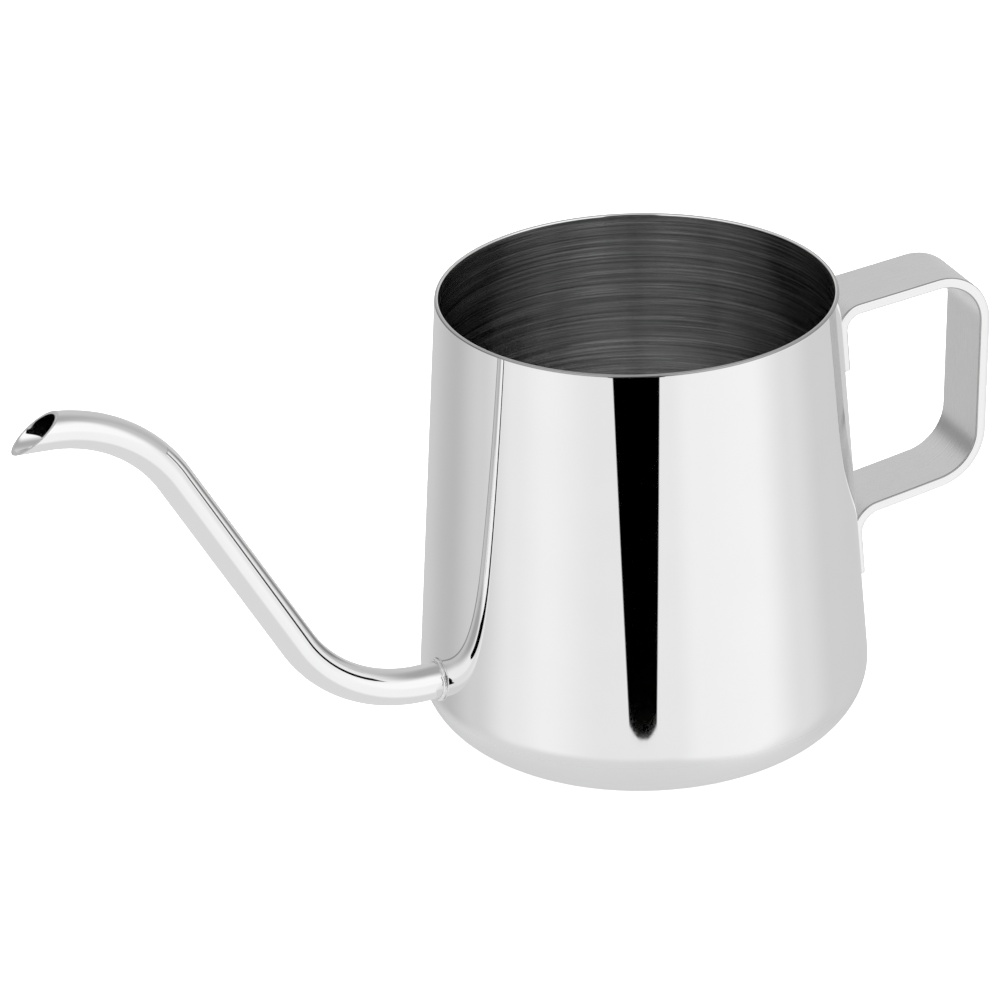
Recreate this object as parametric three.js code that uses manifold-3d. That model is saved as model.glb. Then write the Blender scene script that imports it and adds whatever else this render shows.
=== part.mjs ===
// A small stainless-steel gooseneck kettle without a lid, for pouring over single cups of coffee.
// Millimetres, +Z up. The origin is on the axis of the cup, on the plane that it stands on.
// The spout points along -X and the handle along +X, so the kettle is symmetric about the XZ plane.

import * as THREE from "three";
import { mergeVertices } from "three/addons/utils/BufferGeometryUtils.js";
import Module from "manifold-3d";

const wasm = await Module();
wasm.setup();

// ---- Driving dimensions -------------------------------------------------------------------

const joinGap = 0.3; // kept between two pieces that touch on the real kettle

// Cup: a deep-drawn cone frustum with a large rounded corner at its foot.
const rimHeight = 86.5;
const rimDiameter = 74;
const widestDiameter = 84; // where the cone meets the rounded corner
const cornerHeight = 12.3;
const cornerWidth = 14.5;
const wall = 0.8;

// Spout: one bent tube. Heights near the tip are set from the rim, as the kettle pours there.
const tubeDiameter = 6.9;
const tubeWall = 0.5;
const rootHeight = 16.3;
const rootRise = -1.4; // degrees, so the first leg falls a little before the bend
const firstLeg = 19.2; // from the cup's wall to the lower bend's corner
const shaftReach = 56.7; // upper bend's corner, outwards from the widest radius
const shaftTopBelowRim = 4.9;
const lowerBend = 27; // bend radii are those of the centreline
const upperBend = 28.2;
const tipRise = 2.3; // degrees
const tipLeg = 17.7; // from the upper bend's corner to the middle of the slanted mouth
const mouthSlant = 38.5; // degrees between the mouth's plane and the tube

// Weld bead where the tube meets the cup.
const beadRadius = 0.9;

// Handle: one flat bar bent into a D, with both feet turned down against the cup.
const barWidth = 14;
const barThickness = 2;
const upperFootLength = 11.8;
const upperBendBelowRim = 9.6;
const upperGripBelowRim = 6.5;
const upperGripReach = 26.3; // outwards from the widest radius
const lowerGripReach = 24.9;
const lowerGripHeight = 39.6;
const lowerBendHeight = 35.3;
const lowerFootLength = 12.7;
const upperFootBend = 4;
const upperGripBend = 8.9;
const lowerGripBend = 9.9;
const lowerFootBend = 5;

// Spot welds: two in each foot.
const weldDiameter = 3.6;
const weldSpacing = 6.6;

// Fineness of the round surfaces.
const cupSegments = 72;
const tubeSegments = 24;
const tubeSteps = 40;
const bendSegments = 8;
const legSegments = 3;
const barSegments = 8;

// ---- Materials ----------------------------------------------------------------------------

function steel(name, color, roughness) {
  const material = new THREE.MeshStandardMaterial({ color, roughness, metalness: 1 });
  material.name = name;
  return material;
}

// ---- Helpers ------------------------------------------------------------------------------

const radians = THREE.MathUtils.degToRad;

function toSolid(geometry) {
  const bare = geometry.clone();
  bare.deleteAttribute("normal");
  bare.deleteAttribute("uv");
  const merged = mergeVertices(bare, 1e-4);
  const mesh = new wasm.Mesh({
    numProp: 3,
    vertProperties: merged.attributes.position.array,
    triVerts: new Uint32Array(merged.index.array),
  });
  return new wasm.Manifold(mesh);
}

function toGeometry(solid) {
  const mesh = solid.getMesh();
  const geometry = new THREE.BufferGeometry();
  geometry.setAttribute("position", new THREE.BufferAttribute(mesh.vertProperties, 3));
  geometry.setIndex(new THREE.BufferAttribute(mesh.triVerts, 1));
  geometry.computeVertexNormals();
  return geometry;
}

// LatheGeometry turns about Y, and the kettle stands along Z.
function turned(profile, segments) {
  return new THREE.LatheGeometry(profile, segments).rotateX(Math.PI / 2);
}

// A round bar along the direction dir, centred at middle.
function rod(radius, length, segments, middle, dir) {
  const geometry = new THREE.CylinderGeometry(radius, radius, length, segments);
  const turn = new THREE.Quaternion().setFromUnitVectors(new THREE.Vector3(0, 1, 0), dir);
  return geometry.applyQuaternion(turn).translate(middle.x, middle.y, middle.z);
}

// An arc in the XZ plane, from one tangent point of a bend to the other.
class BendArc extends THREE.Curve {
  constructor(centre, radius, from, sweep) {
    super();
    this.centre = centre;
    this.radius = radius;
    this.from = from;
    this.sweep = sweep;
  }

  getPoint(t, target = new THREE.Vector3()) {
    const angle = this.from + t * this.sweep;
    const x = this.centre.x + this.radius * Math.cos(angle);
    const z = this.centre.z + this.radius * Math.sin(angle);
    return target.set(x, 0, z);
  }
}

// Straight legs between the corners, with a bend of the given radius at each inner corner.
function bentPath(corners, radii) {
  const path = new THREE.CurvePath();
  let start = corners[0];
  radii.forEach((radius, i) => {
    const corner = corners[i + 1];
    const arriving = corner.clone().sub(corners[i]).normalize();
    const leaving = corners[i + 2].clone().sub(corner).normalize();
    const turn = arriving.angleTo(leaving);
    const setback = radius * Math.tan(turn / 2);
    const bendStart = corner.clone().addScaledVector(arriving, -setback);
    const side = Math.sign(arriving.x * leaving.z - arriving.z * leaving.x);
    const inward = new THREE.Vector3(-arriving.z, 0, arriving.x).multiplyScalar(side);
    const centre = bendStart.clone().addScaledVector(inward, radius);
    const from = Math.atan2(-inward.z, -inward.x);
    path.add(new THREE.LineCurve3(start, bendStart));
    path.add(new BendArc(centre, radius, from, side * turn));
    start = corner.clone().addScaledVector(leaving, setback);
  });
  path.add(new THREE.LineCurve3(start, corners[corners.length - 1]));
  return path;
}

// ---- Cup ----------------------------------------------------------------------------------

const rimRadius = rimDiameter / 2;
const widestRadius = widestDiameter / 2;
const flatBaseRadius = widestRadius - cornerWidth;
const taper = (widestRadius - rimRadius) / (rimHeight - cornerHeight);

function cupRadiusAt(z) {
  return widestRadius - taper * (z - cornerHeight);
}

// The rounded corner, from the flat base up to the cone, moved outwards by offset.
function cornerPoints(offset) {
  const points = [];
  for (let i = 0; i <= bendSegments; i += 1) {
    const angle = (i / bendSegments) * (Math.PI / 2);
    const r = flatBaseRadius + (cornerWidth + offset) * Math.sin(angle);
    const z = cornerHeight - (cornerHeight + offset) * Math.cos(angle);
    points.push(new THREE.Vector2(r, z));
  }
  return points;
}

// The rounded lip: a half circle as wide as the wall.
function lipPoints() {
  const points = [];
  const centreRadius = rimRadius - wall / 2;
  const centreHeight = rimHeight - wall / 2;
  for (let i = 0; i <= 4; i += 1) {
    const angle = (i / 4) * Math.PI;
    const r = centreRadius + (wall / 2) * Math.cos(angle);
    const z = centreHeight + (wall / 2) * Math.sin(angle);
    points.push(new THREE.Vector2(r, z));
  }
  return points;
}

function cupSolid() {
  const profile = [
    new THREE.Vector2(0, 0),
    ...cornerPoints(0),
    ...lipPoints(),
    ...cornerPoints(-wall).reverse(),
    new THREE.Vector2(0, wall),
  ];
  return toSolid(turned(profile, cupSegments));
}

// The whole cup without its hollow, grown by the join gap: it trims what is welded to the cup.
function cupKeepOut() {
  const profile = [
    new THREE.Vector2(0, -joinGap),
    ...cornerPoints(joinGap),
    new THREE.Vector2(rimRadius + joinGap, rimHeight + joinGap),
    new THREE.Vector2(0, rimHeight + joinGap),
  ];
  return toSolid(turned(profile, cupSegments));
}

// ---- Spout --------------------------------------------------------------------------------

const tubeRadius = tubeDiameter / 2;
const boreRadius = tubeRadius - tubeWall;
const rootPoint = new THREE.Vector3(-cupRadiusAt(rootHeight), 0, rootHeight);
const rootDirection = new THREE.Vector3(-Math.cos(radians(rootRise)), 0, Math.sin(radians(rootRise)));
const tipDirection = new THREE.Vector3(-Math.cos(radians(tipRise)), 0, Math.sin(radians(tipRise)));
const upperCorner = new THREE.Vector3(-widestRadius - shaftReach, 0, rimHeight - shaftTopBelowRim);
const mouthCentre = upperCorner.clone().addScaledVector(tipDirection, tipLeg);

// The tube starts inside the cup and runs past the mouth, and both ends are trimmed.
function spoutPath() {
  const lowerCorner = rootPoint.clone().addScaledVector(rootDirection, firstLeg);
  const inside = rootPoint.clone().addScaledVector(rootDirection, -tubeRadius);
  const beyond = mouthCentre.clone().addScaledVector(tipDirection, 2 * tubeDiameter);
  return bentPath([inside, lowerCorner, upperCorner, beyond], [lowerBend, upperBend]);
}

function tubeGeometry() {
  const section = new THREE.Shape().absarc(0, 0, tubeRadius, 0, 2 * Math.PI, false);
  section.holes.push(new THREE.Path().absarc(0, 0, boreRadius, 0, 2 * Math.PI, true));
  return new THREE.ExtrudeGeometry(section, {
    steps: tubeSteps,
    curveSegments: tubeSegments / 2,
    extrudePath: spoutPath(),
  });
}

// Everything beyond the slanted mouth, whose lower lip stands further out than its upper one.
function mouthCutter() {
  const size = 8 * tubeDiameter;
  const block = new THREE.BoxGeometry(size, size, size).translate(-size / 2, 0, 0);
  const lean = Math.PI / 2 - radians(mouthSlant) + radians(tipRise);
  block.rotateY(lean).translate(mouthCentre.x, 0, mouthCentre.z);
  return toSolid(block);
}

function spoutSolid() {
  return toSolid(tubeGeometry()).subtract(cupKeepOut()).subtract(mouthCutter());
}

// The hole in the cup's wall is as wide as the tube's bore and in line with it.
function spoutHole() {
  return toSolid(rod(boreRadius, 6 * tubeRadius, tubeSegments, rootPoint, rootDirection));
}

// ---- Weld bead ----------------------------------------------------------------------------

// A ring of round section that lies on the cup's wall around the tube, trimmed by both.
function beadSolid() {
  const section = new THREE.EllipseCurve(tubeRadius + joinGap, joinGap, beadRadius, beadRadius);
  const ring = turned(section.getPoints(12), 2 * tubeSegments);
  const slope = Math.atan(taper);
  const wallNormal = new THREE.Vector3(-Math.cos(slope), 0, Math.sin(slope));
  const turn = new THREE.Quaternion().setFromUnitVectors(new THREE.Vector3(0, 0, 1), wallNormal);
  ring.applyQuaternion(turn).translate(rootPoint.x, rootPoint.y, rootPoint.z);
  const clearTube = rod(tubeRadius + joinGap, 6 * tubeRadius, 2 * tubeSegments, rootPoint, rootDirection);
  return toSolid(ring).subtract(toSolid(clearTube)).subtract(cupKeepOut());
}

// ---- Handle -------------------------------------------------------------------------------

// The bar's centreline, from the end of the upper foot round to the end of the lower foot.
const footOffset = joinGap + barThickness / 2;
const upperBendHeight = rimHeight - upperBendBelowRim;
const upperFootEnd = upperBendHeight - upperFootLength;
const lowerFootEnd = lowerBendHeight - lowerFootLength;

function onCup(z) {
  return new THREE.Vector3(cupRadiusAt(z) + footOffset, 0, z);
}

function handlePath() {
  const upperGrip = new THREE.Vector3(widestRadius + upperGripReach, 0, rimHeight - upperGripBelowRim);
  const lowerGrip = new THREE.Vector3(widestRadius + lowerGripReach, 0, lowerGripHeight);
  const corners = [
    onCup(upperFootEnd),
    onCup(upperBendHeight),
    upperGrip,
    lowerGrip,
    onCup(lowerBendHeight),
    onCup(lowerFootEnd),
  ];
  return bentPath(corners, [upperFootBend, upperGripBend, lowerGripBend, lowerFootBend]);
}

// The side view of the bar: its centreline moved to both sides by half the thickness.
function barOutline() {
  const outer = [];
  const inner = [];
  handlePath().curves.forEach((curve, order) => {
    const steps = curve.isLineCurve3 ? legSegments : bendSegments;
    for (let i = order === 0 ? 0 : 1; i <= steps; i += 1) {
      const point = curve.getPoint(i / steps);
      const tangent = curve.getTangent(i / steps);
      const across = new THREE.Vector2(-tangent.z, tangent.x).multiplyScalar(barThickness / 2);
      const centre = new THREE.Vector2(point.x, point.z);
      outer.push(centre.clone().add(across));
      inner.push(centre.clone().sub(across));
    }
  });
  return new THREE.Shape([...outer, ...inner.reverse()]);
}

// Next to the cup the bar is formed round it, and further out it is flat.
function wrapRoundCup(geometry) {
  const position = geometry.attributes.position;
  const formed = barThickness * 2;
  const faded = barThickness * 8;
  for (let i = 0; i < position.count; i += 1) {
    const x = position.getX(i);
    const y = position.getY(i);
    const out = x - cupRadiusAt(position.getZ(i));
    const flat = THREE.MathUtils.smoothstep(out, formed, faded);
    const round = Math.sqrt(x * x - y * y);
    position.setX(i, THREE.MathUtils.lerp(round, x, flat));
  }
  return geometry;
}

function barSolid() {
  const geometry = new THREE.ExtrudeGeometry(barOutline(), {
    depth: barWidth,
    steps: barSegments,
    bevelEnabled: false,
  });
  geometry.translate(0, 0, -barWidth / 2).rotateX(Math.PI / 2);
  return toSolid(wrapRoundCup(geometry));
}

// ---- Spot welds ---------------------------------------------------------------------------

const upperWeldHeight = upperFootEnd + (upperFootLength - upperFootBend) / 2;
const lowerWeldHeight = lowerFootEnd + (lowerFootLength - lowerFootBend) / 2;
const spotWelds = [
  { name: "upper_left_spot_weld", y: -weldSpacing / 2, z: upperWeldHeight },
  { name: "upper_right_spot_weld", y: weldSpacing / 2, z: upperWeldHeight },
  { name: "lower_left_spot_weld", y: -weldSpacing / 2, z: lowerWeldHeight },
  { name: "lower_right_spot_weld", y: weldSpacing / 2, z: lowerWeldHeight },
];

// A rod across the foot. The weld is what it shares with the bar, so both have the same faces.
function weldRod(weld, radius) {
  const middle = new THREE.Vector3(cupRadiusAt(weld.z) + footOffset, weld.y, weld.z);
  const outwards = new THREE.Vector3(1, 0, 0);
  return toSolid(rod(radius, 3 * barThickness, tubeSegments, middle, outwards));
}

// ---- Assembly -----------------------------------------------------------------------------

const kettle = new THREE.Group();

function addPiece(name, solid, material) {
  const mesh = new THREE.Mesh(toGeometry(solid), material);
  mesh.name = name;
  kettle.add(mesh);
}

addPiece("kettle_cup", cupSolid().subtract(spoutHole()), steel("polished cup", 0xd6d6d6, 0.06));
addPiece("gooseneck_spout", spoutSolid(), steel("polished tube", 0xdedede, 0.08));
addPiece("spout_weld_bead", beadSolid(), steel("weld bead", 0xe8e8e8, 0.22));

const bar = barSolid();
let handle = bar;
spotWelds.forEach((weld) => {
  handle = handle.subtract(weldRod(weld, weldDiameter / 2 + joinGap));
});
addPiece("handle_strap", handle, steel("satin handle", 0xc6c6c6, 0.3));
spotWelds.forEach((weld) => {
  const slug = bar.intersect(weldRod(weld, weldDiameter / 2));
  addPiece(weld.name, slug, steel(weld.name.replaceAll("_", " "), 0xb4b4b2, 0.35));
});

export default kettle;
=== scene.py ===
"""The looks of a small stainless-steel gooseneck kettle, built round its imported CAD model.

Metres. The cup's axis is Z, the spout points along -X and the handle along +X.
"""

import math

import bmesh
import bpy
import numpy as np
from mathutils import Matrix, Vector


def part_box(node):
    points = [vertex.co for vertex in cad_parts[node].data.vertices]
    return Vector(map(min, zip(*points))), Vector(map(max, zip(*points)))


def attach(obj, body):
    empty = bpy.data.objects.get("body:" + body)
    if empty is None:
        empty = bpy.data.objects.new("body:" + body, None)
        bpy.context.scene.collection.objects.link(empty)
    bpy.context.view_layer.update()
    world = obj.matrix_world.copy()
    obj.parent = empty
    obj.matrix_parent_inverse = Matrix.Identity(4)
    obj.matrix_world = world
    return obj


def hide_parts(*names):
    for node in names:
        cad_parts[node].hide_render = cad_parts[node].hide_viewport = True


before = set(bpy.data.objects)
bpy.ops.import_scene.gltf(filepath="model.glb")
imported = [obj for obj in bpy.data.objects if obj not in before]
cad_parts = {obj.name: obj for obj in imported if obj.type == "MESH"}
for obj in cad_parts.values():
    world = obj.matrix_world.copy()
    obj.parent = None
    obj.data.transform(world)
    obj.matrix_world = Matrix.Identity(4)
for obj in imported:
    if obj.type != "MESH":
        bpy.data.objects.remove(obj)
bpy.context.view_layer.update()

MM = 0.001
BODY = "root"

# ---- Sizes, as in the CAD model ----------------------------------------------------------

_, cup_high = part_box("kettle_cup")
RIM_HEIGHT = cup_high.z
WIDEST_RADIUS = cup_high.x
RIM_RADIUS = 37 * MM
WALL = 0.8 * MM
CORNER_HEIGHT = 12.3 * MM
CORNER_WIDTH = 14.5 * MM
TAPER = (WIDEST_RADIUS - RIM_RADIUS) / (RIM_HEIGHT - CORNER_HEIGHT)

TUBE_RADIUS = 3.45 * MM
BORE_RADIUS = 2.95 * MM
ROOT_HEIGHT = 16.3 * MM
ROOT_RISE = math.radians(-1.4)
FIRST_LEG = 19.2 * MM
SHAFT_REACH = 56.7 * MM
SHAFT_TOP_BELOW_RIM = 4.9 * MM
SPOUT_BENDS = (27 * MM, 28.2 * MM)
TIP_RISE = math.radians(2.3)
TIP_LEG = 17.7 * MM
MOUTH_SLANT = math.radians(38.5)

BAR_WIDTH = 14 * MM
BAR_THICKNESS = 2 * MM
UPPER_FOOT_LENGTH = 11.8 * MM
LOWER_FOOT_LENGTH = 12.7 * MM
UPPER_BEND_BELOW_RIM = 9.6 * MM
UPPER_GRIP_BELOW_RIM = 6.5 * MM
UPPER_GRIP_REACH = 26.3 * MM
LOWER_GRIP_REACH = 24.9 * MM
LOWER_GRIP_HEIGHT = 39.6 * MM
LOWER_BEND_HEIGHT = 35.3 * MM
BAR_BENDS = (4 * MM, 8.9 * MM, 9.9 * MM, 5 * MM)
WELD_RADIUS = 1.8 * MM
WELD_SPACING = 6.6 * MM


# ---- Geometry helpers --------------------------------------------------------------------


def unit(vector):
    return vector / np.linalg.norm(vector)


class BentPath:
    """Straight legs in the XZ plane, with an arc of the given radius at each inner corner."""

    def __init__(self, corners, radii):
        corners = [np.array(corner, float) for corner in corners]
        self.pieces = []
        self.length = 0.0
        start = corners[0]
        for i, radius in enumerate(radii):
            arriving = unit(corners[i + 1] - corners[i])
            leaving = unit(corners[i + 2] - corners[i + 1])
            turn = math.acos(np.clip(arriving @ leaving, -1, 1))
            setback = radius * math.tan(turn / 2)
            bend_start = corners[i + 1] - arriving * setback
            side = math.copysign(1, arriving[0] * leaving[1] - arriving[1] * leaving[0])
            self._add_line(start, bend_start)
            self._add_arc(bend_start, arriving, radius, side, turn)
            start = corners[i + 1] + leaving * setback
        self._add_line(start, corners[-1])

    def _add_line(self, start, end):
        size = np.linalg.norm(end - start)
        self.pieces.append(("line", self.length, size, start, unit(end - start)))
        self.length += size

    def _add_arc(self, start, heading, radius, side, turn):
        self.pieces.append(("arc", self.length, radius * turn, start, heading, radius, side))
        self.length += radius * turn

    def at(self, s):
        """The point and the heading at the distance s along the path."""
        piece = next((p for p in self.pieces if s <= p[1] + p[2]), self.pieces[-1])
        along = s - piece[1]
        start, heading = piece[3], piece[4]
        if piece[0] == "line":
            return start + heading * along, heading
        radius, side = piece[5], piece[6]
        angle = along / radius
        left = np.array([-heading[1], heading[0]]) * side
        point = start + radius * (heading * math.sin(angle) + left * (1 - math.cos(angle)))
        return point, heading * math.cos(angle) + left * math.sin(angle)


def grid_faces(rows, columns, wrap_rows=False, wrap_columns=False, skip=None):
    """Quads between neighbouring points of a grid that is stored row by row."""
    faces = []
    for i in range(rows if wrap_rows else rows - 1):
        for j in range(columns if wrap_columns else columns - 1):
            if skip is not None and skip[i, j]:
                continue
            below = (i + 1) % rows
            right = (j + 1) % columns
            corners = (i * columns + j, i * columns + right)
            faces.append((*corners, below * columns + right, below * columns + j))
    return faces


def new_piece(name, points, faces, materials, material_of_face=None):
    """A smooth-shaded mesh piece, with a material for each face where there are several."""
    mesh = bpy.data.meshes.new(name)
    mesh.from_pydata([tuple(p) for p in points], [], faces)
    for material in materials:
        mesh.materials.append(material)
    if material_of_face is not None:
        mesh.polygons.foreach_set("material_index", material_of_face)
    mesh.polygons.foreach_set("use_smooth", [True] * len(mesh.polygons))
    mesh.validate()
    piece = bpy.data.objects.new(name, mesh)
    bpy.context.scene.collection.objects.link(piece)
    return piece


def cup_radius_at(z):
    """The outside's radius, where the wall is a cone."""
    return WIDEST_RADIUS - TAPER * (z - CORNER_HEIGHT)


# ---- Materials ---------------------------------------------------------------------------


class Graph:
    """Short names for the node calls that the materials and the studio's light share."""

    def __init__(self, tree):
        self.tree = tree

    def add(self, kind, **settings):
        node = self.tree.nodes.new(kind)
        for key, value in settings.items():
            setattr(node, key, value)
        return node

    def link(self, source, target):
        self.tree.links.new(source, target)

    def feed(self, sockets, values):
        """Sets each socket to its value, or links it where the value is another node's socket."""
        for socket, value in zip(sockets, values):
            if isinstance(value, (int, float)):
                socket.default_value = value
            else:
                self.link(value, socket)

    def math(self, operation, *values):
        node = self.add("ShaderNodeMath", operation=operation)
        self.feed(node.inputs, values)
        return node.outputs[0]

    def plus(self, first, second):
        return self.math("ADD", first, second)

    def less(self, first, second):
        return self.math("SUBTRACT", first, second)

    def times(self, first, second):
        return self.math("MULTIPLY", first, second)


class Surface(Graph):
    """A new material with one shader, and the patterns that vary it."""

    def __init__(self, name):
        self.material = bpy.data.materials.new(name)
        self.material.use_nodes = True
        super().__init__(self.material.node_tree)
        self.shader = self.tree.nodes["Principled BSDF"]

    def set(self, **values):
        for key, value in values.items():
            self.shader.inputs[key.replace("_", " ")].default_value = value

    def coordinates(self):
        """The place on the object in metres, whole and as its X, Y and Z."""
        place = self.add("ShaderNodeTexCoord").outputs["Object"]
        split = self.add("ShaderNodeSeparateXYZ")
        self.link(place, split.inputs[0])
        return place, split.outputs

    def stretched(self, x, y, z):
        """A vector of three values, each a socket or a number, for a stretched pattern."""
        join = self.add("ShaderNodeCombineXYZ")
        self.feed(join.inputs, (x, y, z))
        return join.outputs[0]

    def noise(self, vector, scale, detail=2.0, roughness=0.5):
        node = self.add("ShaderNodeTexNoise")
        self.link(vector, node.inputs["Vector"])
        node.inputs["Scale"].default_value = scale
        node.inputs["Detail"].default_value = detail
        node.inputs["Roughness"].default_value = roughness
        return node.outputs["Fac"]

    def ranged(self, value, low, high, out_low, out_high):
        node = self.add("ShaderNodeMapRange")
        self.link(value, node.inputs["Value"])
        limits = {"From Min": low, "From Max": high, "To Min": out_low, "To Max": out_high}
        for key, number in limits.items():
            node.inputs[key].default_value = number
        return node.outputs["Result"]

    def grey(self, value, dark, light):
        """A grey between two RGB tints, chosen by a value from 0 to 1."""
        node = self.add("ShaderNodeMix", data_type="RGBA")
        self.link(value, node.inputs["Factor"])
        node.inputs["A"].default_value = (*dark, 1)
        node.inputs["B"].default_value = (*light, 1)
        return node.outputs["Result"]

    def bump(self, height, distance):
        node = self.add("ShaderNodeBump")
        node.inputs["Distance"].default_value = distance
        self.link(height, node.inputs["Height"])
        self.link(node.outputs["Normal"], self.shader.inputs["Normal"])

    def from_axis(self, x, y):
        """The distance from the Z axis."""
        return self.math("SQRT", self.plus(self.times(x, x), self.times(y, y)))


DULL_FOOT = (12.5 * MM, 7 * MM)  # heights between which the polish fades towards the base


def polished_steel(name, light, dark, roughness, foot_roughness=0.0):
    """Mirror polish with a faint haze and hair-fine wiping marks, and a foot that can be duller."""
    m = Surface(name)
    m.set(Metallic=1.0)
    place, (_, _, z) = m.coordinates()
    haze = m.noise(place, 90, 3)
    marks = m.noise(place, 2600, 2)
    mixed = m.times(haze, marks)
    rough = m.ranged(mixed, 0.1, 0.45, roughness * 0.6, roughness * 1.5)
    if foot_roughness:
        rough = m.plus(rough, m.ranged(z, *DULL_FOOT, 0, foot_roughness))
    m.link(rough, m.shader.inputs["Roughness"])
    m.link(m.grey(haze, (dark,) * 3, (light,) * 3), m.shader.inputs["Base Color"])
    m.bump(m.noise(place, 55, 1), 0.0015 * MM)
    return m.material


def turned_steel(name, dark, light, roughness, glancing):
    """Steel brushed in circles round the Z axis. Glancing is its tint at a flat angle, 0 for dark."""
    m = Surface(name)
    # The highlight is drawn out across the brush lines, up and down the wall.
    m.set(Metallic=1.0, Anisotropic=1.0, Anisotropic_Rotation=0.25)
    m.set(Specular_Tint=(glancing, glancing, glancing, 1))
    _, (x, y, z) = m.coordinates()
    radius = m.from_axis(x, y)
    across = m.plus(radius, z)
    not_zero = m.math("MAXIMUM", radius, 0.1 * MM)
    cosine = m.math("DIVIDE", x, not_zero)
    sine = m.math("DIVIDE", y, not_zero)

    def lines(per_metre, scale, detail, grit):
        return m.noise(m.stretched(cosine, sine, m.times(across, per_metre)), scale, detail, grit)

    fine = lines(2300, 1.1, 1, 0.8)
    broad = lines(400, 1.1, 2, 0.6)
    # Only the peaks of the third pattern show, as single bright scratches.
    scratches = m.ranged(lines(1700, 1.7, 0, 0.5), 0.73, 0.82, 0, 1.4)
    mixed = m.plus(m.times(fine, 0.85), m.times(broad, 0.15))
    mixed = m.plus(m.ranged(mixed, 0.34, 0.68, 0, 0.8), scratches)
    m.link(m.grey(mixed, dark, light), m.shader.inputs["Base Color"])
    m.link(m.ranged(fine, 0.3, 0.7, roughness * 0.8, roughness * 1.25), m.shader.inputs["Roughness"])
    tangent = m.add("ShaderNodeTangent", direction_type="RADIAL", axis="Z")
    m.link(tangent.outputs[0], m.shader.inputs["Tangent"])
    m.bump(mixed, 0.004 * MM)
    return m.material


def satin_steel(name, dark, light, roughness):
    """Flat bar brushed along its length, so the lines run at a constant Y."""
    m = Surface(name)
    m.set(Metallic=1.0)
    place, (x, y, z) = m.coordinates()
    lines = m.stretched(m.times(x, 90), m.times(y, 5000), m.times(z, 90))
    fine = m.noise(lines, 1.0, 3, 0.6)
    blotch = m.noise(place, 220, 2)
    mixed = m.plus(m.times(fine, 0.6), m.times(blotch, 0.4))
    m.link(m.grey(m.ranged(mixed, 0.3, 0.7, 0, 1), dark, light), m.shader.inputs["Base Color"])
    m.link(m.ranged(fine, 0.3, 0.7, roughness * 0.85, roughness * 1.15), m.shader.inputs["Roughness"])
    m.bump(fine, 0.003 * MM)
    return m.material


def weld_metal(name, dark, light, roughness, grain_scale):
    """Bare weld: a little uneven, with darker patches."""
    m = Surface(name)
    m.set(Metallic=1.0)
    place, _ = m.coordinates()
    grain = m.noise(place, grain_scale, 3, 0.55)
    m.link(m.grey(m.ranged(grain, 0.35, 0.65, 0, 1), dark, light), m.shader.inputs["Base Color"])
    m.link(m.ranged(grain, 0.3, 0.7, roughness * 0.7, roughness * 1.4), m.shader.inputs["Roughness"])
    m.bump(grain, 0.02 * MM)
    return m.material


def ground_lip_and_painted_shade(name):
    """The cup's lip: a dark line of painted shade on the outer edge, then satin, and polished on the
    inner half.
    """
    painted_shade_tone, satin_tone, polished_tone = 0.40, 0.60, 0.97
    m = Surface(name)
    m.set(Metallic=1.0)
    place, (x, y, _) = m.coordinates()
    wander = 0.06 * MM
    uneven = m.times(m.noise(place, 700, 2), wander)
    from_edge = m.less(RIM_RADIUS + wander / 2, m.plus(m.from_axis(x, y), uneven))
    # From the outer edge inwards: the thin line of painted shade, then the satin tone.
    outer = m.ranged(from_edge, 0.04 * MM, 0.12 * MM, painted_shade_tone, satin_tone)
    polish = m.ranged(from_edge, 0.40 * MM, 0.55 * MM, 0, polished_tone - satin_tone)
    m.link(m.grey(m.plus(outer, polish), (0, 0, 0), (1, 1, 1)), m.shader.inputs["Base Color"])
    m.link(m.ranged(from_edge, 0.40 * MM, 0.55 * MM, 0.26, 0.12), m.shader.inputs["Roughness"])
    m.bump(m.noise(place, 900, 2), 0.006 * MM)
    return m.material


OUTSIDE = polished_steel("polished_outside", 0.93, 0.90, 0.015, 0.55)
INSIDE = turned_steel("brushed_inside", (0.42,) * 3, (1.0,) * 3, 0.19, 0.0)
LIP = ground_lip_and_painted_shade("ground_lip_and_painted_shade")
UNDERSIDE = turned_steel("brushed_underside", (0.62,) * 3, (0.78,) * 3, 0.3, 1.0)
TUBE = polished_steel("polished_tube", 0.94, 0.91, 0.04)
BORE = polished_steel("drawn_bore", 0.95, 0.92, 0.06)
MOUTH = polished_steel("ground_mouth", 0.84, 0.70, 0.2)
BAR = satin_steel("satin_bar", (0.87,) * 3, (0.92,) * 3, 0.3)
BAR_EDGE = polished_steel("polished_bar_edge", 0.93, 0.90, 0.14)
# The bar's rounded corners get a dark colour as painted shade, which draws dark lines along the narrow
# edges.
BAR_CORNER = polished_steel("bar_corner_painted_shade", 0.56, 0.46, 0.2)
BEAD = weld_metal("weld_bead", (0.93,) * 3, (0.98,) * 3, 0.3, 500)
TOE = weld_metal("weld_toe", (0.22,) * 3, (0.42,) * 3, 0.3, 900)
SPOT = weld_metal("spot_weld", (0.45, 0.43, 0.40), (0.62, 0.60, 0.57), 0.35, 1500)


# ---- Cup ---------------------------------------------------------------------------------

# Past a right angle the corner's ellipse leans in as the cone does, and the cone goes on from there.
FLAT_RADIUS = WIDEST_RADIUS - CORNER_WIDTH
CORNER_SWEEP = math.pi / 2 + math.atan(TAPER * CORNER_HEIGHT / CORNER_WIDTH)
CORNER_STEPS = 400


def corner_point(angle):
    """Radius and height on the corner's ellipse."""
    r = FLAT_RADIUS + CORNER_WIDTH * math.sin(angle)
    return np.array([r, CORNER_HEIGHT * (1 - math.cos(angle))])


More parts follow.
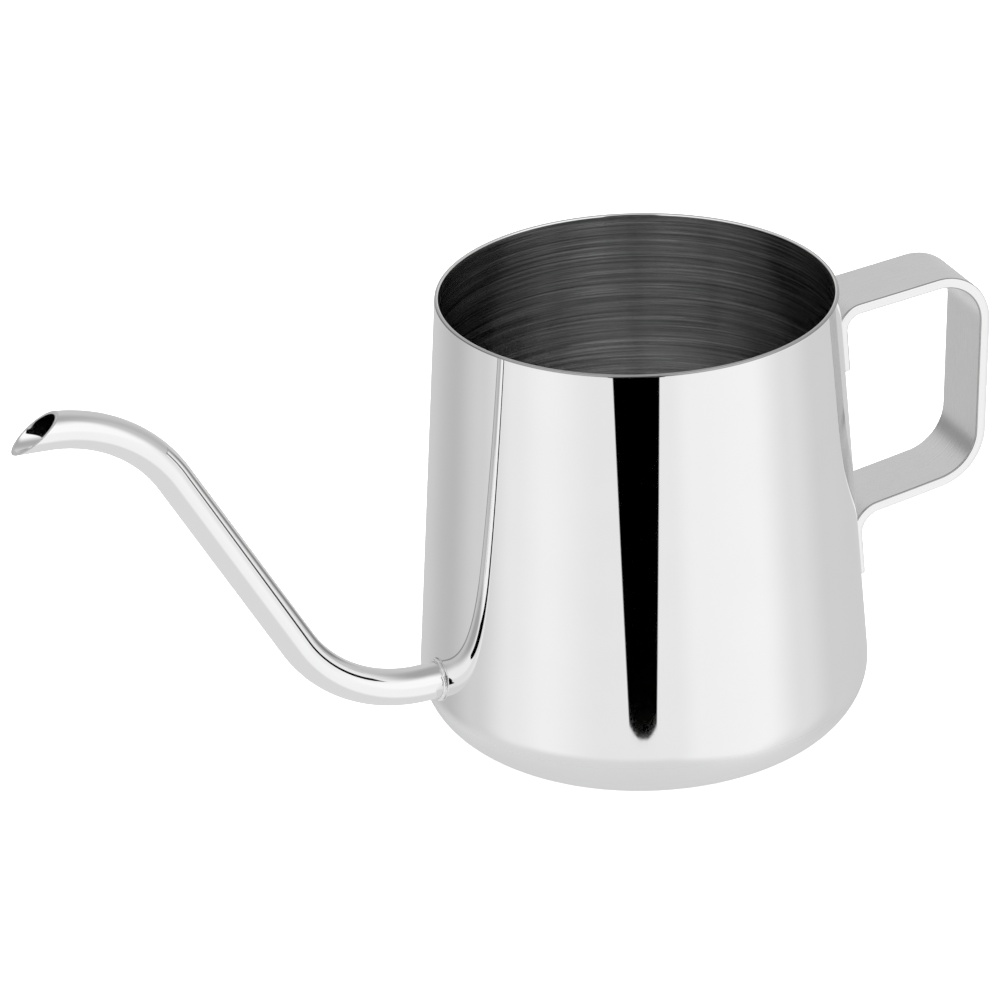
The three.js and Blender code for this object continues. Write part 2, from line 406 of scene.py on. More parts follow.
# The ellipse has no simple formula for its length, so the length is added up in small steps.
CORNER_ANGLES = [CORNER_SWEEP * i / CORNER_STEPS for i in range(CORNER_STEPS + 1)]
CORNER_POINTS = np.array([corner_point(angle) for angle in CORNER_ANGLES])
CORNER_CHORDS = np.linalg.norm(np.diff(CORNER_POINTS, axis=0), axis=1)
CORNER_ARC = np.concatenate(([0], np.cumsum(CORNER_CHORDS)))
CONE_START = CORNER_POINTS[-1]
LIP_RADIUS = WALL / 2
CONE_END = np.array([RIM_RADIUS, RIM_HEIGHT - LIP_RADIUS])
CONE_DIRECTION = unit(CONE_END - CONE_START)
CORNER_END_S = FLAT_RADIUS + CORNER_ARC[-1]
CUP_LENGTH = CORNER_END_S + np.linalg.norm(CONE_END - CONE_START)


def cup_profile(s):
    """Radius, height and outward normal of the outside, at the distance s from the base's centre."""
    if s <= FLAT_RADIUS:
        return np.array([s, 0.0]), np.array([0.0, -1.0])
    if s >= CORNER_END_S:
        point = CONE_START + CONE_DIRECTION * (s - CORNER_END_S)
        return point, np.array([CONE_DIRECTION[1], -CONE_DIRECTION[0]])
    arc = s - FLAT_RADIUS
    angle = CORNER_SWEEP * np.interp(arc, CORNER_ARC, np.arange(CORNER_STEPS + 1)) / CORNER_STEPS
    heading = unit(np.array([CORNER_WIDTH * math.cos(angle), CORNER_HEIGHT * math.sin(angle)]))
    return corner_point(angle), np.array([heading[1], -heading[0]])


ROOT_S = CORNER_END_S + (ROOT_HEIGHT - CONE_START[1]) / CONE_DIRECTION[1]
CUP_COLUMNS = 288
HOLE_RING = 4  # cells from the hole's middle to its edge
HOLE_WINDOW = 9  # cells from the hole's middle to where the grid is square again
CELL = 2 * math.pi * WIDEST_RADIUS / CUP_COLUMNS


def cup_rows():
    """Distances along the profile: close rows round the spout's hole, wider ones elsewhere."""
    flat_rows, corner_rows, cone_rows = 11, 16, 30
    below_lip = 0.1 * MM  # a last narrow row, so that the lip's shading doesn't reach down the wall
    hole = [ROOT_S + k * CELL for k in range(-HOLE_WINDOW, HOLE_WINDOW + 1)]
    flat = list(np.linspace(0, FLAT_RADIUS, flat_rows + 1)[1:])
    corner = list(np.linspace(FLAT_RADIUS, hole[0], corner_rows + 1)[1:-1])
    cone = list(np.linspace(hole[-1], CUP_LENGTH - below_lip, cone_rows + 1)[1:]) + [CUP_LENGTH]
    return flat + corner + hole + cone


def round_the_hole(i, j):
    """Moves a point of the square grid, i and j cells from the hole, so that the hole is round."""
    ring = max(abs(i), abs(j))
    square = np.array([i, j], float) * CELL
    if ring <= HOLE_RING or ring >= HOLE_WINDOW:
        scale = BORE_RADIUS / np.linalg.norm(square) if ring == HOLE_RING else 1.0
        return square * scale
    blend = (ring - HOLE_RING) / (HOLE_WINDOW - HOLE_RING)
    circle = unit(square) * (BORE_RADIUS + (ring - HOLE_RING) * CELL)
    return circle * (1 - blend) + square * blend


def cup_surface(rows, inwards):
    """A grid of points on the outside, or on the inside when inwards is the wall's thickness."""
    middle_row = int(np.argmin(np.abs(np.array(rows) - ROOT_S)))
    middle_column = CUP_COLUMNS // 2
    points = []
    for i, s in enumerate(rows):
        for j in range(CUP_COLUMNS):
            angle = 2 * math.pi * j / CUP_COLUMNS
            place = s
            if max(abs(i - middle_row), abs(j - middle_column)) <= HOLE_WINDOW:
                up, across = round_the_hole(i - middle_row, j - middle_column)
                place = ROOT_S + up
                angle = math.pi + across / WIDEST_RADIUS
            (r, z), (nr, nz) = cup_profile(place)
            r -= nr * inwards
            z -= nz * inwards
            points.append((r * math.cos(angle), r * math.sin(angle), z))
    return points


def make_cup():
    """Outside, inside and lip in one closed mesh, with a round hole where the spout starts."""
    on_outside, on_inside, on_lip, on_underside = range(4)
    underside_height = 0.2 * MM
    rows = cup_rows()
    count = len(rows)
    middle_row = int(np.argmin(np.abs(np.array(rows) - ROOT_S)))
    middle_column = CUP_COLUMNS // 2
    skip = np.zeros((count, CUP_COLUMNS), bool)
    skip[
        middle_row - HOLE_RING : middle_row + HOLE_RING,
        middle_column - HOLE_RING : middle_column + HOLE_RING,
    ] = True

    outside = cup_surface(rows, 0)
    inside = cup_surface(rows, WALL)
    lip = []
    lip_steps = 12
    for k in range(1, lip_steps):
        turn = math.pi * k / lip_steps
        r = RIM_RADIUS - LIP_RADIUS + LIP_RADIUS * math.cos(turn)
        z = RIM_HEIGHT - LIP_RADIUS + LIP_RADIUS * math.sin(turn)
        for j in range(CUP_COLUMNS):
            angle = 2 * math.pi * j / CUP_COLUMNS
            lip.append((r * math.cos(angle), r * math.sin(angle), z))

    points = outside + lip + inside
    outside_faces = grid_faces(count, CUP_COLUMNS, wrap_columns=True, skip=skip)
    faces = [tuple(reversed(face)) for face in outside_faces]
    first_inside = len(outside) + len(lip)
    faces += [tuple(first_inside + corner for corner in face) for face in outside_faces]
    kinds = [on_outside] * len(outside_faces) + [on_inside] * len(outside_faces)

    # The lip joins the last row of the outside, its own rows, and the last row of the inside.
    rings = [(count - 1) * CUP_COLUMNS]
    rings += [len(outside) + k * CUP_COLUMNS for k in range(lip_steps - 1)]
    rings += [first_inside + (count - 1) * CUP_COLUMNS]
    for lower, upper in zip(rings, rings[1:]):
        for j in range(CUP_COLUMNS):
            right = (j + 1) % CUP_COLUMNS
            faces.append((upper + j, upper + right, lower + right, lower + j))
            kinds.append(on_lip)

    # Both centres of the base close with a fan.
    points += [(0, 0, 0), (0, 0, WALL)]
    for j in range(CUP_COLUMNS):
        right = (j + 1) % CUP_COLUMNS
        faces.append((len(points) - 2, right, j))
        faces.append((len(points) - 1, first_inside + j, first_inside + right))
        kinds += [on_outside, on_inside]

    # The edge of the hole joins the outside to the inside.
    loop = hole_loop(middle_row, middle_column)
    for here, there in zip(loop, loop[1:] + loop[:1]):
        faces.append((here, there, first_inside + there, first_inside + here))
        kinds.append(on_inside)

    for index, face in enumerate(faces):
        height = max(points[corner][2] for corner in face)
        if kinds[index] == on_outside and height < underside_height:
            kinds[index] = on_underside
    return new_piece("polished_cup", points, faces, [OUTSIDE, INSIDE, LIP, UNDERSIDE], kinds)


def hole_loop(row, column):
    """The grid points round the hole, in order."""
    low_row, high_row = row - HOLE_RING, row + HOLE_RING
    low_column, high_column = column - HOLE_RING, column + HOLE_RING
    loop = [(low_row, j) for j in range(low_column, high_column)]
    loop += [(i, high_column) for i in range(low_row, high_row)]
    loop += [(high_row, j) for j in range(high_column, low_column, -1)]
    loop += [(i, low_column) for i in range(high_row, low_row, -1)]
    return [i * CUP_COLUMNS + j for i, j in loop]


# ---- Spout -------------------------------------------------------------------------------

ROOT_POINT = np.array([-cup_radius_at(ROOT_HEIGHT), ROOT_HEIGHT])
ROOT_DIRECTION = np.array([-math.cos(ROOT_RISE), math.sin(ROOT_RISE)])
TIP_DIRECTION = np.array([-math.cos(TIP_RISE), math.sin(TIP_RISE)])
UPPER_CORNER = np.array([-WIDEST_RADIUS - SHAFT_REACH, RIM_HEIGHT - SHAFT_TOP_BELOW_RIM])
MOUTH_CENTRE = UPPER_CORNER + TIP_DIRECTION * TIP_LEG
LEAN = math.pi / 2 - MOUTH_SLANT + TIP_RISE
MOUTH_NORMAL = np.array([-math.cos(LEAN), math.sin(LEAN)])
# The path runs on at both ends, so that the wall and the mouth can cut the tube anywhere.
SPOUT_PATH = BentPath(
    [
        ROOT_POINT - ROOT_DIRECTION * 3 * MM,
        ROOT_POINT + ROOT_DIRECTION * FIRST_LEG,
        UPPER_CORNER,
        MOUTH_CENTRE + TIP_DIRECTION * 12 * MM,
    ],
    SPOUT_BENDS,
)
MOUTH_SEARCH = 32 * MM  # how far from the path's end the mouth can be
ROOT_SEARCH = 8 * MM  # how far from the path's start the wall can be


def tube_point(s, angle, radius):
    """A point of the tube's surface: angle 0 is up, seen along the tube, and a quarter turn is +Y."""
    centre, heading = SPOUT_PATH.at(s)
    up = np.array([heading[1], -heading[0]])
    up = up if up[1] > 0 else -up
    flat = centre + up * radius * math.cos(angle)
    return np.array([flat[0], radius * math.sin(angle), flat[1]])


def find_crossing(low, high, inside):
    """The place between low and high where inside(place) stops being true."""
    for _ in range(40):
        middle = (low + high) / 2
        low, high = (middle, high) if inside(middle) else (low, middle)
    return (low + high) / 2


def mouth_place(angle, radius):
    """Where along the path the line of the tube at this angle meets the slanted mouth."""

    def before_mouth(s):
        x, _, z = tube_point(s, angle, radius)
        return (np.array([x, z]) - MOUTH_CENTRE) @ MOUTH_NORMAL < 0

    return find_crossing(SPOUT_PATH.length - MOUTH_SEARCH, SPOUT_PATH.length, before_mouth)


def root_place(angle, radius):
    """Where along the path the line of the tube at this angle comes out of the cup's wall."""

    def inside_wall(s):
        x, y, z = tube_point(s, angle, radius)
        return math.hypot(x, y) < cup_radius_at(z)

    return find_crossing(0, ROOT_SEARCH, inside_wall)


def tube_rows(radius, steps, columns):
    """Rings from the cup's wall to the slanted mouth, which lean over near both ends."""
    fade = 9 * MM
    angles = [2 * math.pi * j / columns for j in range(columns)]
    starts = np.array([root_place(angle, radius) for angle in angles])
    ends = np.array([mouth_place(angle, radius) for angle in angles])
    first, last = starts.mean(), ends.mean()
    rows = []
    for i in range(steps + 1):
        s = first + (last - first) * i / steps
        near_root = max(0.0, 1 - (s - first) / fade) ** 2
        near_mouth = max(0.0, 1 - (last - s) / fade) ** 1.5
        lean = near_root * (starts - first) + near_mouth * (ends - last)
        rows.append([tube_point(s + lean[j], angles[j], radius) for j in range(columns)])
    return rows


def make_spout():
    """The tube's outside, its mouth and its bore in one closed mesh."""
    columns, steps, lip_steps = 64, 190, 8
    on_tube, in_bore, on_mouth = range(3)
    outer = tube_rows(TUBE_RADIUS, steps, columns)
    inner = tube_rows(BORE_RADIUS, steps, columns)
    # The mouth is ground flat, and both of its edges are a little rounded.
    middle = (TUBE_RADIUS + BORE_RADIUS) / 2
    half = (TUBE_RADIUS - BORE_RADIUS) / 2
    edge = 0.12 * MM
    squareness = 0.6  # of the mouth's section, where 1 is half an ellipse
    outer[-1] = [back_from_mouth(p, edge) for p in outer[-1]]
    inner[-1] = [back_from_mouth(p, edge) for p in inner[-1]]
    lip = []
    for k in range(1, lip_steps):
        turn = math.pi * k / lip_steps
        radius = middle + half * math.copysign(abs(math.cos(turn)) ** squareness, math.cos(turn))
        drop = edge * (1 - math.sin(turn) ** squareness)
        ring = []
        for j in range(columns):
            angle = 2 * math.pi * j / columns
            ring.append(back_from_mouth(tube_point(mouth_place(angle, radius), angle, radius), drop))
        lip.append(ring)
    rows = outer + lip + inner[::-1]
    points = [p for row in rows for p in row]
    faces = grid_faces(len(rows), columns, wrap_rows=True, wrap_columns=True)
    kinds = []
    for index in range(len(faces)):
        row = index // columns
        if row < steps:
            kinds.append(on_tube)
        elif row < steps + lip_steps:
            kinds.append(on_mouth)
        else:
            kinds.append(in_bore)
    return new_piece("bent_tube", points, faces, [TUBE, BORE, MOUTH], kinds)


def back_from_mouth(point, drop):
    """Moves a point on the mouth back into the tube."""
    x, y, z = point
    return np.array([x - TIP_DIRECTION[0] * drop, y, z - TIP_DIRECTION[1] * drop])


# ---- Weld bead ---------------------------------------------------------------------------


def make_bead():
    """A smooth roll of weld between the tube and the cup, a little uneven, with darker edges."""
    columns, sides = 220, 20
    on_crest, on_toe = range(2)
    radius = 0.44 * MM
    stand_off = 0.16 * MM  # of the roll's middle, from both the tube and the cup
    bright_share = 0.62  # of a quarter turn, on either side of the roll's crest
    points = []
    for j in range(columns):
        angle = 2 * math.pi * j / columns
        swell = 1 + 0.06 * math.sin(17 * angle + math.sin(3 * angle)) + 0.06 * math.sin(7 * angle + 1)
        wander = 0.06 * MM * math.sin(5 * angle + 0.6) + 0.03 * MM * math.sin(11 * angle)
        place = root_place(angle, TUBE_RADIUS)
        foot = tube_point(place, angle, TUBE_RADIUS)
        centre, heading = SPOUT_PATH.at(place)
        along = np.array([heading[0], 0, heading[1]])
        out = foot - np.array([centre[0], 0, centre[1]])
        out = unit(out - along * (out @ along))
        for k in range(sides):
            turn = 2 * math.pi * k / sides
            rise = along * (stand_off + wander + math.cos(turn) * radius * swell)
            points.append(foot + rise + out * (stand_off + math.sin(turn) * radius * swell))
    faces = grid_faces(columns, sides, wrap_rows=True, wrap_columns=True)
    kinds = []
    for index in range(len(faces)):
        turn = 2 * math.pi * (index % sides + 0.5) / sides
        from_crest = abs((turn - math.pi / 4 + math.pi) % (2 * math.pi) - math.pi)
        kinds.append(on_crest if from_crest < bright_share * math.pi / 2 else on_toe)
    return new_piece("root_weld", points, faces, [BEAD, TOE], kinds)


# ---- Handle ------------------------------------------------------------------------------

CONTACT = 0.04 * MM  # the feet all but touch the cup
FOOT_WRAP = 0.7  # how closely the feet are formed to the cup, from 0 for flat
FOOT_OFFSET = CONTACT + BAR_THICKNESS / 2
UPPER_BEND_HEIGHT = RIM_HEIGHT - UPPER_BEND_BELOW_RIM
UPPER_FOOT_END = UPPER_BEND_HEIGHT - UPPER_FOOT_LENGTH
LOWER_FOOT_END = LOWER_BEND_HEIGHT - LOWER_FOOT_LENGTH


def on_cup(z):
    """The middle of the bar where it lies against the cup's wall."""
    return (cup_radius_at(z) + FOOT_OFFSET, z)


HANDLE_PATH = BentPath(
    [
        on_cup(UPPER_FOOT_END),
        on_cup(UPPER_BEND_HEIGHT),
        (WIDEST_RADIUS + UPPER_GRIP_REACH, RIM_HEIGHT - UPPER_GRIP_BELOW_RIM),
        (WIDEST_RADIUS + LOWER_GRIP_REACH, LOWER_GRIP_HEIGHT),
        on_cup(LOWER_BEND_HEIGHT),
        on_cup(LOWER_FOOT_END),
    ],
    BAR_BENDS,
)
UPPER_WELD_HEIGHT = UPPER_FOOT_END + (UPPER_FOOT_LENGTH - BAR_BENDS[0]) / 2
LOWER_WELD_HEIGHT = LOWER_FOOT_END + (LOWER_FOOT_LENGTH - BAR_BENDS[3]) / 2
SPOT_WELDS = {
    "upper_left_spot_weld": (-WELD_SPACING / 2, UPPER_WELD_HEIGHT),
    "upper_right_spot_weld": (WELD_SPACING / 2, UPPER_WELD_HEIGHT),
    "lower_left_spot_weld": (-WELD_SPACING / 2, LOWER_WELD_HEIGHT),
    "lower_right_spot_weld": (WELD_SPACING / 2, LOWER_WELD_HEIGHT),
}


def smooth_step(value, low, high):
    t = min(1.0, max(0.0, (value - low) / (high - low)))
    return t * t * (3 - 2 * t)


def wrap_round_cup(x, y, z):
    """Next to the cup the bar is formed round it, and further out it is flat."""
    away = x - cup_radius_at(z)
    flat = smooth_step(away, 2 * BAR_THICKNESS, 8 * BAR_THICKNESS)
    formed = x - (x - math.sqrt(x * x - y * y)) * FOOT_WRAP
    return formed + (x - formed) * flat


DIMPLE_DEPTH = 0.14 * MM
RAISED_RIM = 0.035 * MM
# From the middle of an electrode mark, as shares of the weld's radius.
DIMPLE_EDGE = (0.72, 1.05)
RAISED_RIM_PLACE = 1.15
RAISED_RIM_SPREAD = 0.14
DIMPLE_REACH = 1.6


def dimple(y, z):
    """Depth of the electrode marks in the outer face of the feet, with a slightly raised rim."""
    depth = 0.0
    for weld_y, weld_z in SPOT_WELDS.values():
        away = math.hypot(y - weld_y, z - weld_z) / WELD_RADIUS
        if away < DIMPLE_REACH:
            depth += DIMPLE_DEPTH * (1 - smooth_step(away, *DIMPLE_EDGE))
            depth -= RAISED_RIM * math.exp(-(((away - RAISED_RIM_PLACE) / RAISED_RIM_SPREAD) ** 2))
    return depth


BAR_FACE_STEPS = 52
BAR_CORNER_STEPS = 5
ON_FACE, ON_EDGE, ON_CORNER = range(3)


def bar_kind(step):
    """What a step along half of the section lies on: a wide face, a narrow edge or a corner."""
    if step < BAR_FACE_STEPS:
        return ON_FACE
    edge_step = BAR_FACE_STEPS + BAR_CORNER_STEPS - 1
    return ON_EDGE if abs(step - edge_step) <= 1 else ON_CORNER


def bar_section(inset):
    """The bar's cross-section as (across, thickness) pairs, with rounded edges."""
    edge = 0.32 * MM
    half_width = BAR_WIDTH / 2 - inset
    half_thickness = BAR_THICKNESS / 2 - inset
    section = []
    for side in (1, -1):
        for k in range(BAR_FACE_STEPS):
            across = side * (half_width - edge) * (1 - 2 * k / BAR_FACE_STEPS)
            section.append((across, side * half_thickness))
        centre = (-side * (half_width - edge), side * (half_thickness - edge))
        for k in range(BAR_CORNER_STEPS):
            turn = math.pi / 2 * k / BAR_CORNER_STEPS
            across = centre[0] - side * edge * math.sin(turn)
            section.append((across, centre[1] + side * edge * math.cos(turn)))
        centre = (centre[0], -centre[1])
        for k in range(BAR_CORNER_STEPS):
            turn = math.pi / 2 * k / BAR_CORNER_STEPS
            across = centre[0] - side * edge * math.cos(turn)
            section.append((across, centre[1] - side * edge * math.sin(turn)))
    return section


def handle_places():
    """Distances along the bar, close together on the feet, each with the section's inset there."""
    edge = 0.3 * MM
    rounding = 5
    foot_step, leg_step = 0.3 * MM, 0.8 * MM
    upper_foot, lower_foot = 14 * MM, 16 * MM
    places = []
    for k in range(rounding):
        turn = math.pi / 2 * k / rounding
        places.append((edge * (1 - math.cos(turn)), edge * (1 - math.sin(turn))))
    end = [(HANDLE_PATH.length - s, inset) for s, inset in reversed(places)]
    s = edge
    while s < HANDLE_PATH.length - edge:
        places.append((s, 0.0))
        on_foot = s < upper_foot or s > HANDLE_PATH.length - lower_foot
        s += foot_step if on_foot else leg_step
    return places + end


def make_handle():
    """The bent bar, with rounded edges, feet formed round the cup, and four electrode marks."""
    near_cup = WIDEST_RADIUS + 3 * MM
    upright = 0.9  # of the heading's height, squared: the marks are only on the upright feet
    outer_skin = -0.6 * BAR_THICKNESS / 2  # points beyond it are on the bar's outer face
    places = handle_places()
    points = []
    for s, inset in places:
        centre, heading = HANDLE_PATH.at(s)
        normal = np.array([-heading[1], heading[0]])
        for across, thick in bar_section(inset):
            x, z = centre + normal * thick
            formed = wrap_round_cup(x, across, z)
            if thick < outer_skin and x < near_cup and heading[1] ** 2 > upright:
                formed -= dimple(across, z)
            points.append((formed, across, z))
    columns = len(bar_section(0))
    faces = grid_faces(len(places), columns, wrap_columns=True)
    half = columns // 2
    kinds = [bar_kind(index % half) for index in range(len(faces))]
    faces.append(tuple(range(columns)))
    last = (len(places) - 1) * columns
    faces.append(tuple(range(last + columns - 1, last - 1, -1)))
    kinds += [ON_EDGE, ON_EDGE]
    return new_piece("bent_bar", points, faces, [BAR, BAR_EDGE, BAR_CORNER], kinds)


def make_spot_weld(name, weld_y, weld_z):
    """The dull disc at the bottom of an electrode mark."""
    rings, columns = 7, 40
    radius = 0.78 * WELD_RADIUS
    thickness = 0.3 * MM
    crown, ripple = 0.03 * MM, 0.012 * MM
    points = []
    for on_top in (True, False):
        for i in range(1, rings + 1):
            share = i / rings
            for j in range(columns):
                angle = 2 * math.pi * j / columns
                y = weld_y + radius * share * math.cos(angle)
                z = weld_z + radius * share * math.sin(angle)
                lift = crown * (1 - share**4) + ripple * math.sin(5 * angle + 9 * share) * share
                x = cup_radius_at(z) + CONTACT + BAR_THICKNESS - dimple(y, z)
                x = wrap_round_cup(x, y, z) + (lift if on_top else -thickness)
                points.append((x, y, z))
    back = rings * columns  # the back's first point
    skin = grid_faces(rings, columns, wrap_columns=True)
    faces = [tuple(reversed(face)) for face in skin]
    faces += [tuple(back + corner for corner in face) for face in skin]
    edge = (rings - 1) * columns
    for j in range(columns):
        right = (j + 1) % columns
        faces.append((edge + j, edge + right, back + edge + right, back + edge + j))
    faces.append(tuple(range(columns)))
    faces.append(tuple(range(back + columns - 1, back - 1, -1)))
    return new_piece(name + "_mark", points, faces, [SPOT])


# ---- Put the pieces on the frame ---------------------------------------------------------


def stand_for(piece, node):
    """Puts a piece on the frame in place of the CAD node."""
    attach(piece, BODY)
    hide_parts(node)


def face_outwards(piece):
    """Turns every face of a closed piece to point out of it."""
    work = bmesh.new()
    work.from_mesh(piece.data)
    bmesh.ops.recalc_face_normals(work, faces=work.faces)
    work.to_mesh(piece.data)
    work.free()


cup = make_cup()
spout = make_spout()
bead = make_bead()
handle = make_handle()
for piece in (cup, spout, bead, handle):
    face_outwards(piece)
stand_for(cup, "kettle_cup")
stand_for(spout, "gooseneck_spout")
stand_for(bead, "spout_weld_bead")
stand_for(handle, "handle_strap")
for name, (weld_y, weld_z) in SPOT_WELDS.items():
    mark = make_spot_weld(name, weld_y, weld_z)
    face_outwards(mark)
    stand_for(mark, name)


# ---- Floor, light and camera -------------------------------------------------------------


def make_floor():
    """A plain white floor. The polished steel sees the studio round it instead."""
    m = Surface("white_floor")
    m.set(Roughness=0.9, Specular_IOR_Level=0.1, Emission_Strength=0.72)
    m.shader.inputs["Base Color"].default_value = (0.92, 0.92, 0.92, 1)
    m.shader.inputs["Emission Color"].default_value = (1, 1, 1, 1)
    half = 12.0
    corners = [(-half, -half, 0), (half, -half, 0), (half, half, 0), (-half, half, 0)]
    mesh = bpy.data.meshes.new("floor")
    mesh.from_pydata(corners, [], [(0, 1, 2, 3)])
    mesh.materials.append(m.material)
    floor = bpy.data.objects.new("floor", mesh)
    floor.location.z = -0.02 * MM  # just clear of the base
    bpy.context.scene.collection.objects.link(floor)
    floor.visible_glossy = False


class Sky(Graph):
    """The node calls that make the studio's light by direction."""

    def step(self, value, low, high):
        """A smooth step from 0 at low to 1 at high."""
        node = self.add("ShaderNodeMapRange", interpolation_type="SMOOTHSTEP")
        self.link(value, node.inputs["Value"])
        node.inputs["From Min"].default_value = low
        node.inputs["From Max"].default_value = high
        return node.outputs["Result"]

    def round_about(self, azimuth, stops):
        """A brightness that follows (azimuth in degrees, brightness) stops."""
        place = self.math("DIVIDE", self.plus(azimuth, 180.0), 360.0)
        node = self.add("ShaderNodeValToRGB")
        node.color_ramp.interpolation = "EASE"
        elements = node.color_ramp.elements
        while len(elements) < len(stops):
            elements.new(0.5)
        for element, (degrees, brightness) in zip(elements, stops):
            element.position = (degrees + 180) / 360
            element.color = (brightness,) * 3 + (1,)
        self.link(place, node.inputs[0])
        return node.outputs["Color"]

    def mix(self, factor, first, second):
        kept = self.times(first, self.less(1.0, factor))
        return self.plus(kept, self.times(second, factor))


# Brightness of the studio by azimuth in degrees, anticlockwise from the front seen from above,
# so that 0 is -Y and 90 is +X: below the horizon, and above it.
LOW_TONES = [
    (-180, 0.62),
    (-145, 0.52),
    (-120, 0.67),
    (-95, 0.87),
    (-75, 0.94),
    (-45, 0.85),
    (-8, 0.87),
    (5, 0.94),
    (40, 0.97),
    (65, 0.79),
    (90, 0.67),
    (140, 0.64),
    (180, 0.62),
]
HIGH_TONES = [
    (-180, 0.62),
    (-120, 0.60),
    (-60, 0.95),
    (0, 1.04),
    (45, 1.02),
    (75, 0.58),
    (100, 0.50),
    (140, 0.60),
    (180, 0.62),
]
HORIZON = (-2, 12)  # elevations between which the low tones turn into the high ones
ZENITH = (38, 74)  # elevations between which the high tones turn into the zenith's
ZENITH_TONE = 0.42
# The floor's tone takes over between these heights on a unit sphere, and lower to the right.
FLOOR = (-0.72, -0.50)
FLOOR_TILT = 0.4
FLOOR_LEFT = -0.15  # further to the left than this, the heights stay the same
FLOOR_TONE = 0.735
# A darker part of the room, behind on the left. Its edges are soft between two angles.
DARK_AZIMUTH = -140
DARK_SIDES = (18, 46)
DARK_FOOT = (-13, -1)
DARK_TOP = (10, 24)
DARK_TONE = 0.27
# A dark gap in front, between the lights, in degrees. Widths are from its middle to one side.
GAP_AZIMUTH = -24.8
GAP_TOP = (38, 42)
GAP_TIP = -20.31  # elevation of its lower end
GAP_TIP_EDGE = 0.03  # softness of that end
GAP_TIP_HEIGHT = 0.14  # climb over which the end is rounded
GAP_TIP_WIDTH = 6.6
GAP_NECK_HEIGHT = 5.0  # climb over which it goes on widening
GAP_NECK_SPREAD = 1.8  # widening per degree of climb
GAP_EDGE = 0.3  # softness of its sides
GAP_LEAN = 3.0  # how far it shifts towards +X, higher up
GAP_LEAN_HEIGHT = (-16, -4)


def room_tone(sky, azimuth, elevation):
    """The pale walls and ceiling, with their darker part."""
    low = sky.round_about(azimuth, LOW_TONES)
    high = sky.round_about(azimuth, HIGH_TONES)
    tone = sky.mix(sky.step(elevation, *HORIZON), low, high)
    tone = sky.mix(sky.step(elevation, *ZENITH), tone, ZENITH_TONE)
    from_middle = sky.math("ABSOLUTE", sky.less(azimuth, DARK_AZIMUTH))
    dark = sky.less(1.0, sky.step(from_middle, *DARK_SIDES))
    dark = sky.times(dark, sky.step(elevation, *DARK_FOOT))
    dark = sky.times(dark, sky.less(1.0, sky.step(elevation, *DARK_TOP)))
    return sky.mix(dark, tone, DARK_TONE)


def gap_light(sky, azimuth, elevation):
    """0 inside the dark gap and 1 outside it."""
    lean = sky.times(sky.step(elevation, *GAP_LEAN_HEIGHT), GAP_LEAN)
    aside = sky.math("ABSOLUTE", sky.less(azimuth, sky.plus(lean, GAP_AZIMUTH)))
    climb = sky.math("MAXIMUM", sky.less(elevation, GAP_TIP), 0.0)
    rounded = sky.math("SQRT", sky.math("MINIMUM", sky.math("DIVIDE", climb, GAP_TIP_HEIGHT), 1.0))
    neck = sky.times(sky.math("MINIMUM", climb, GAP_NECK_HEIGHT), GAP_NECK_SPREAD)
    width = sky.plus(sky.times(rounded, GAP_TIP_WIDTH), neck)
    beside = sky.step(sky.less(aside, width), -GAP_EDGE, GAP_EDGE)
    below = sky.less(1.0, sky.step(climb, 0.0, GAP_TIP_EDGE))
    above = sky.step(elevation, *GAP_TOP)
    return sky.math("MINIMUM", sky.plus(sky.plus(beside, above), below), 1.0)


def make_studio():
    """Soft light from all sides, by direction: a pale room with a dark gap in front."""
    world = bpy.data.worlds.new("studio")
    bpy.context.scene.world = world
    world.use_nodes = True
    sky = Sky(world.node_tree)
    sky.tree.nodes.clear()
    direction = sky.add("ShaderNodeTexCoord").outputs["Generated"]
    split = sky.add("ShaderNodeSeparateXYZ")
    sky.link(direction, split.inputs[0])
    x, y, z = split.outputs
    degrees = 180 / math.pi
    azimuth = sky.times(sky.math("ARCTAN2", x, sky.times(y, -1.0)), degrees)
    elevation = sky.times(sky.math("ARCSINE", z), degrees)

    tone = room_tone(sky, azimuth, elevation)
    height = sky.plus(z, sky.times(sky.math("MAXIMUM", x, FLOOR_LEFT), FLOOR_TILT))
    tone = sky.mix(sky.step(height, *FLOOR), FLOOR_TONE, tone)
    tone = sky.times(tone, gap_light(sky, azimuth, elevation))

    background = sky.add("ShaderNodeBackground")
    background.inputs["Color"].default_value = (1, 1, 1, 1)
    sky.link(tone, background.inputs["Strength"])
    output = sky.add("ShaderNodeOutputWorld")
    sky.link(background.outputs[0], output.inputs["Surface"])


def glow_material(name, brightness):
    """A surface of one even brightness, whatever the light."""
    material = bpy.data.materials.new(name)
    material.use_nodes = True
    graph = Graph(material.node_tree)
    graph.tree.nodes.clear()
    glow = graph.add("ShaderNodeEmission")
    glow.inputs["Color"].default_value = (brightness,) * 3 + (1,)
    output = graph.add("ShaderNodeOutputMaterial")
    graph.link(glow.outputs[0], output.inputs["Surface"])
    return material


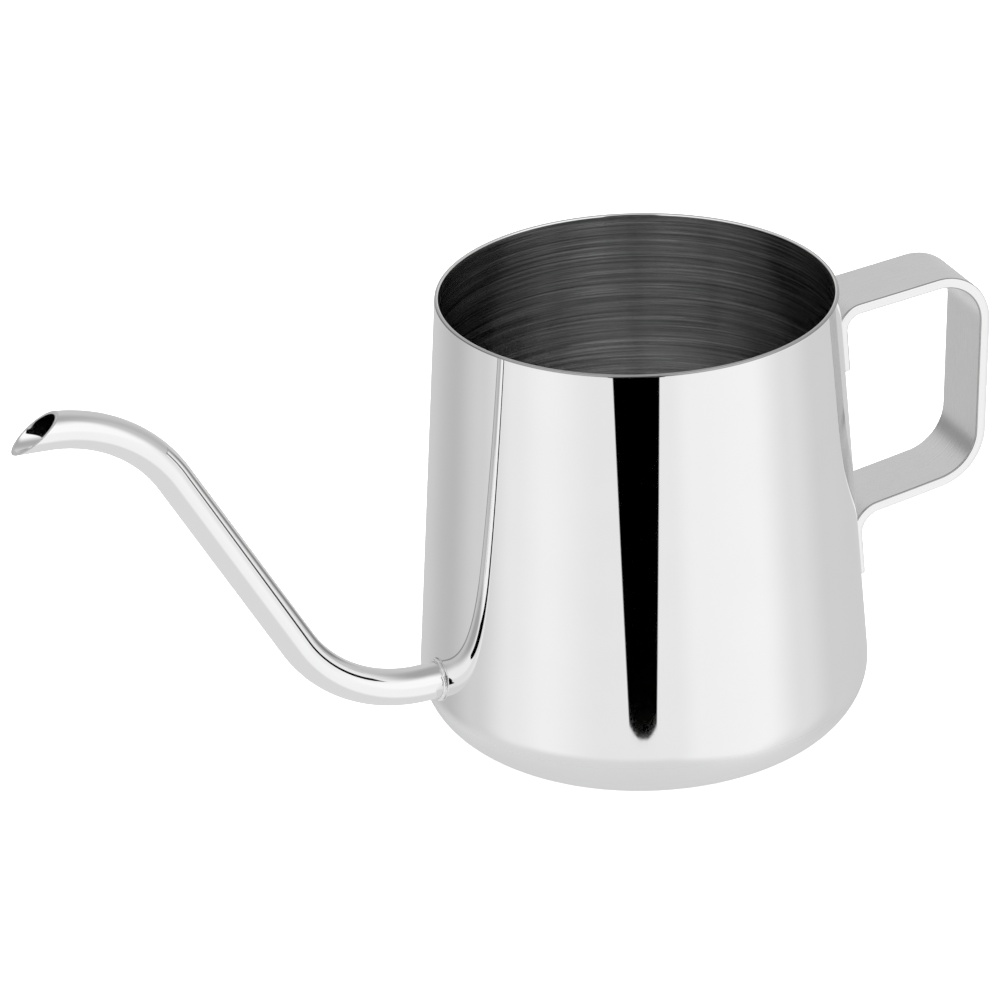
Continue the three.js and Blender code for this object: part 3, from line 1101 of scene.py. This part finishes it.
def make_backdrop():
    """A white dome that only the camera sees, so every view has the same plain background."""
    work = bmesh.new()
    bmesh.ops.create_icosphere(work, subdivisions=4, radius=11.0)
    mesh = bpy.data.meshes.new("backdrop")
    work.to_mesh(mesh)
    work.free()
    mesh.materials.append(glow_material("backdrop", 1.0))
    dome = bpy.data.objects.new("backdrop", mesh)
    bpy.context.scene.collection.objects.link(dome)
    dome.visible_glossy = False
    dome.visible_diffuse = False
    dome.visible_shadow = False
    dome.visible_transmission = False


def make_top_light():
    """A wide soft light that only the floor answers to, so that it stays white in the picture."""
    light = bpy.data.lights.new("floor_light", "AREA")
    light.shape = "DISK"
    light.size = 3.0
    light.energy = 60.0
    lamp = bpy.data.objects.new("floor_light", light)
    lamp.location = (0, 0, 2.2)
    lamp.visible_glossy = False
    lamp.visible_camera = False
    bpy.context.scene.collection.objects.link(lamp)


CAMERA_AZIMUTH = math.radians(-23.674)  # from the front, and towards +X where positive
CAMERA_ELEVATION = math.radians(25.978)
CAMERA_DISTANCE = 1.110
CAMERA_ORBIT_CENTRE = Vector((0, 0, 0.040))
CAMERA_AIM = Vector((-0.02810, 0, 0.05014))
CAMERA_ROLL = math.radians(-1.841)
CAMERA_LENS = 214.56
SENSOR_WIDTH = 36.0


def make_camera():
    """Stands in front and to the left, above the rim, with a long lens and a slight roll."""
    back = Vector(
        (
            math.sin(CAMERA_AZIMUTH) * math.cos(CAMERA_ELEVATION),
            -math.cos(CAMERA_AZIMUTH) * math.cos(CAMERA_ELEVATION),
            math.sin(CAMERA_ELEVATION),
        )
    )
    place = CAMERA_ORBIT_CENTRE + back * CAMERA_DISTANCE
    forward = (CAMERA_AIM - place).normalized()
    level = forward.cross(Vector((0, 0, 1))).normalized()
    up = level.cross(forward)
    right = level * math.cos(CAMERA_ROLL) + up * math.sin(CAMERA_ROLL)
    true_up = right.cross(forward)
    data = bpy.data.cameras.new("camera")
    data.sensor_width = SENSOR_WIDTH
    data.lens = CAMERA_LENS
    data.clip_start = 0.01
    data.clip_end = 100.0
    camera = bpy.data.objects.new("camera", data)
    turn = Matrix((right, true_up, -forward)).transposed()
    camera.matrix_world = Matrix.Translation(place) @ turn.to_4x4()
    bpy.context.scene.collection.objects.link(camera)
    bpy.context.scene.camera = camera


make_floor()
make_backdrop()
make_studio()
make_top_light()
make_camera()
bpy.context.scene.view_settings.view_transform = "Standard"
bpy.context.scene.view_settings.look = "None"
